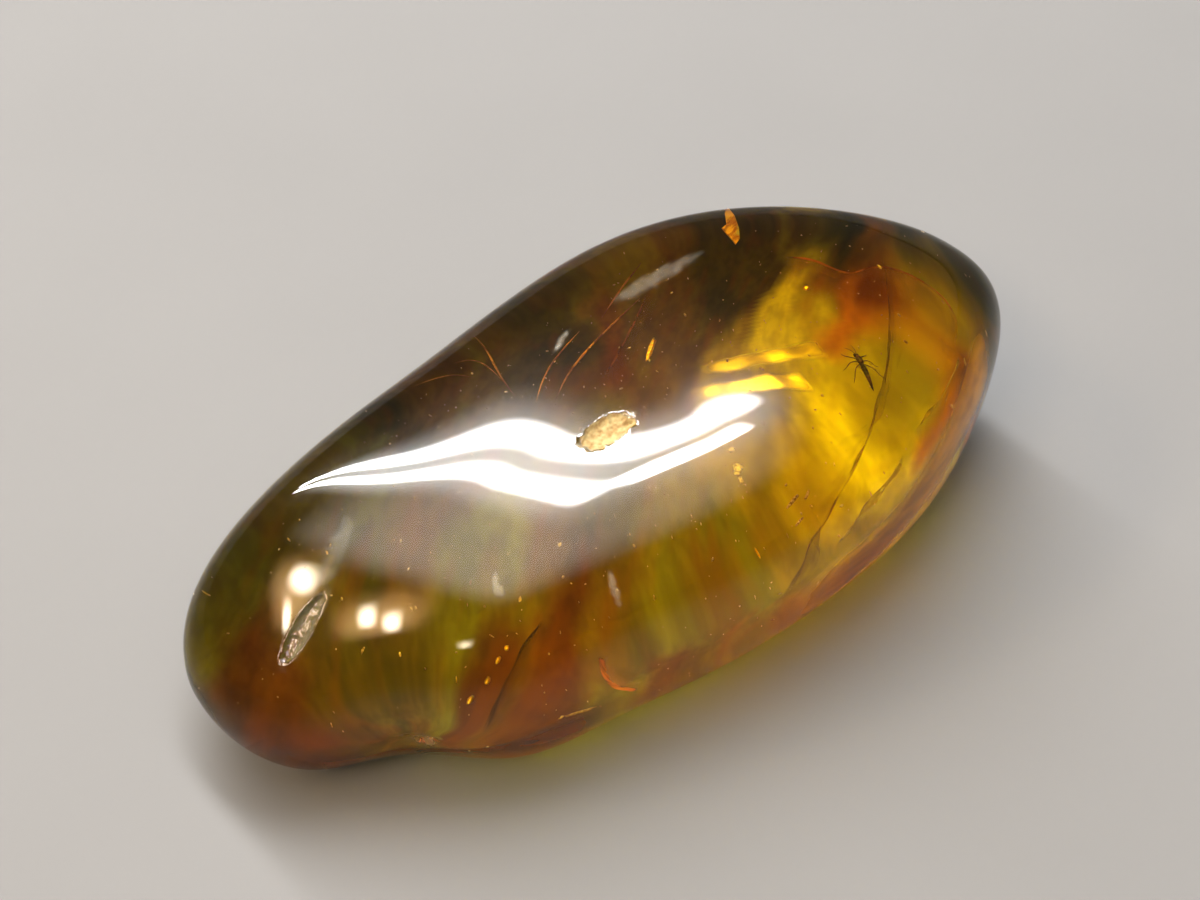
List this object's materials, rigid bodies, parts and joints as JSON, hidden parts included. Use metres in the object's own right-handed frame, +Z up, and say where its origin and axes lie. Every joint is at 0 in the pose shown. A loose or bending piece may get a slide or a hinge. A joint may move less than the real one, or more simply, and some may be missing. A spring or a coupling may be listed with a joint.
{
  "type": "insect in amber",
  "caption": "Polished free-form nugget of clear golden amber with a gnat and a scrap of bark sealed inside it.",
  "frame": {"origin": "middle of the nugget's footprint bounds, on the surface it rests on", "axes": "+X along the nugget's length towards the end that holds the gnat, +Z up from its flat underside"},
  "size_m": [0.0482, 0.0226, 0.0164],
  "materials": {
    "amber": "polished, clear",
    "gnat": "matte",
    "bark_scrap": "matte"
  },
  "bodies": {
    "root": {"amber_upper": "amber", "amber_lower": "amber", "gnat": "gnat", "bark_scrap": "bark_scrap"}
  },
  "joints": []
}
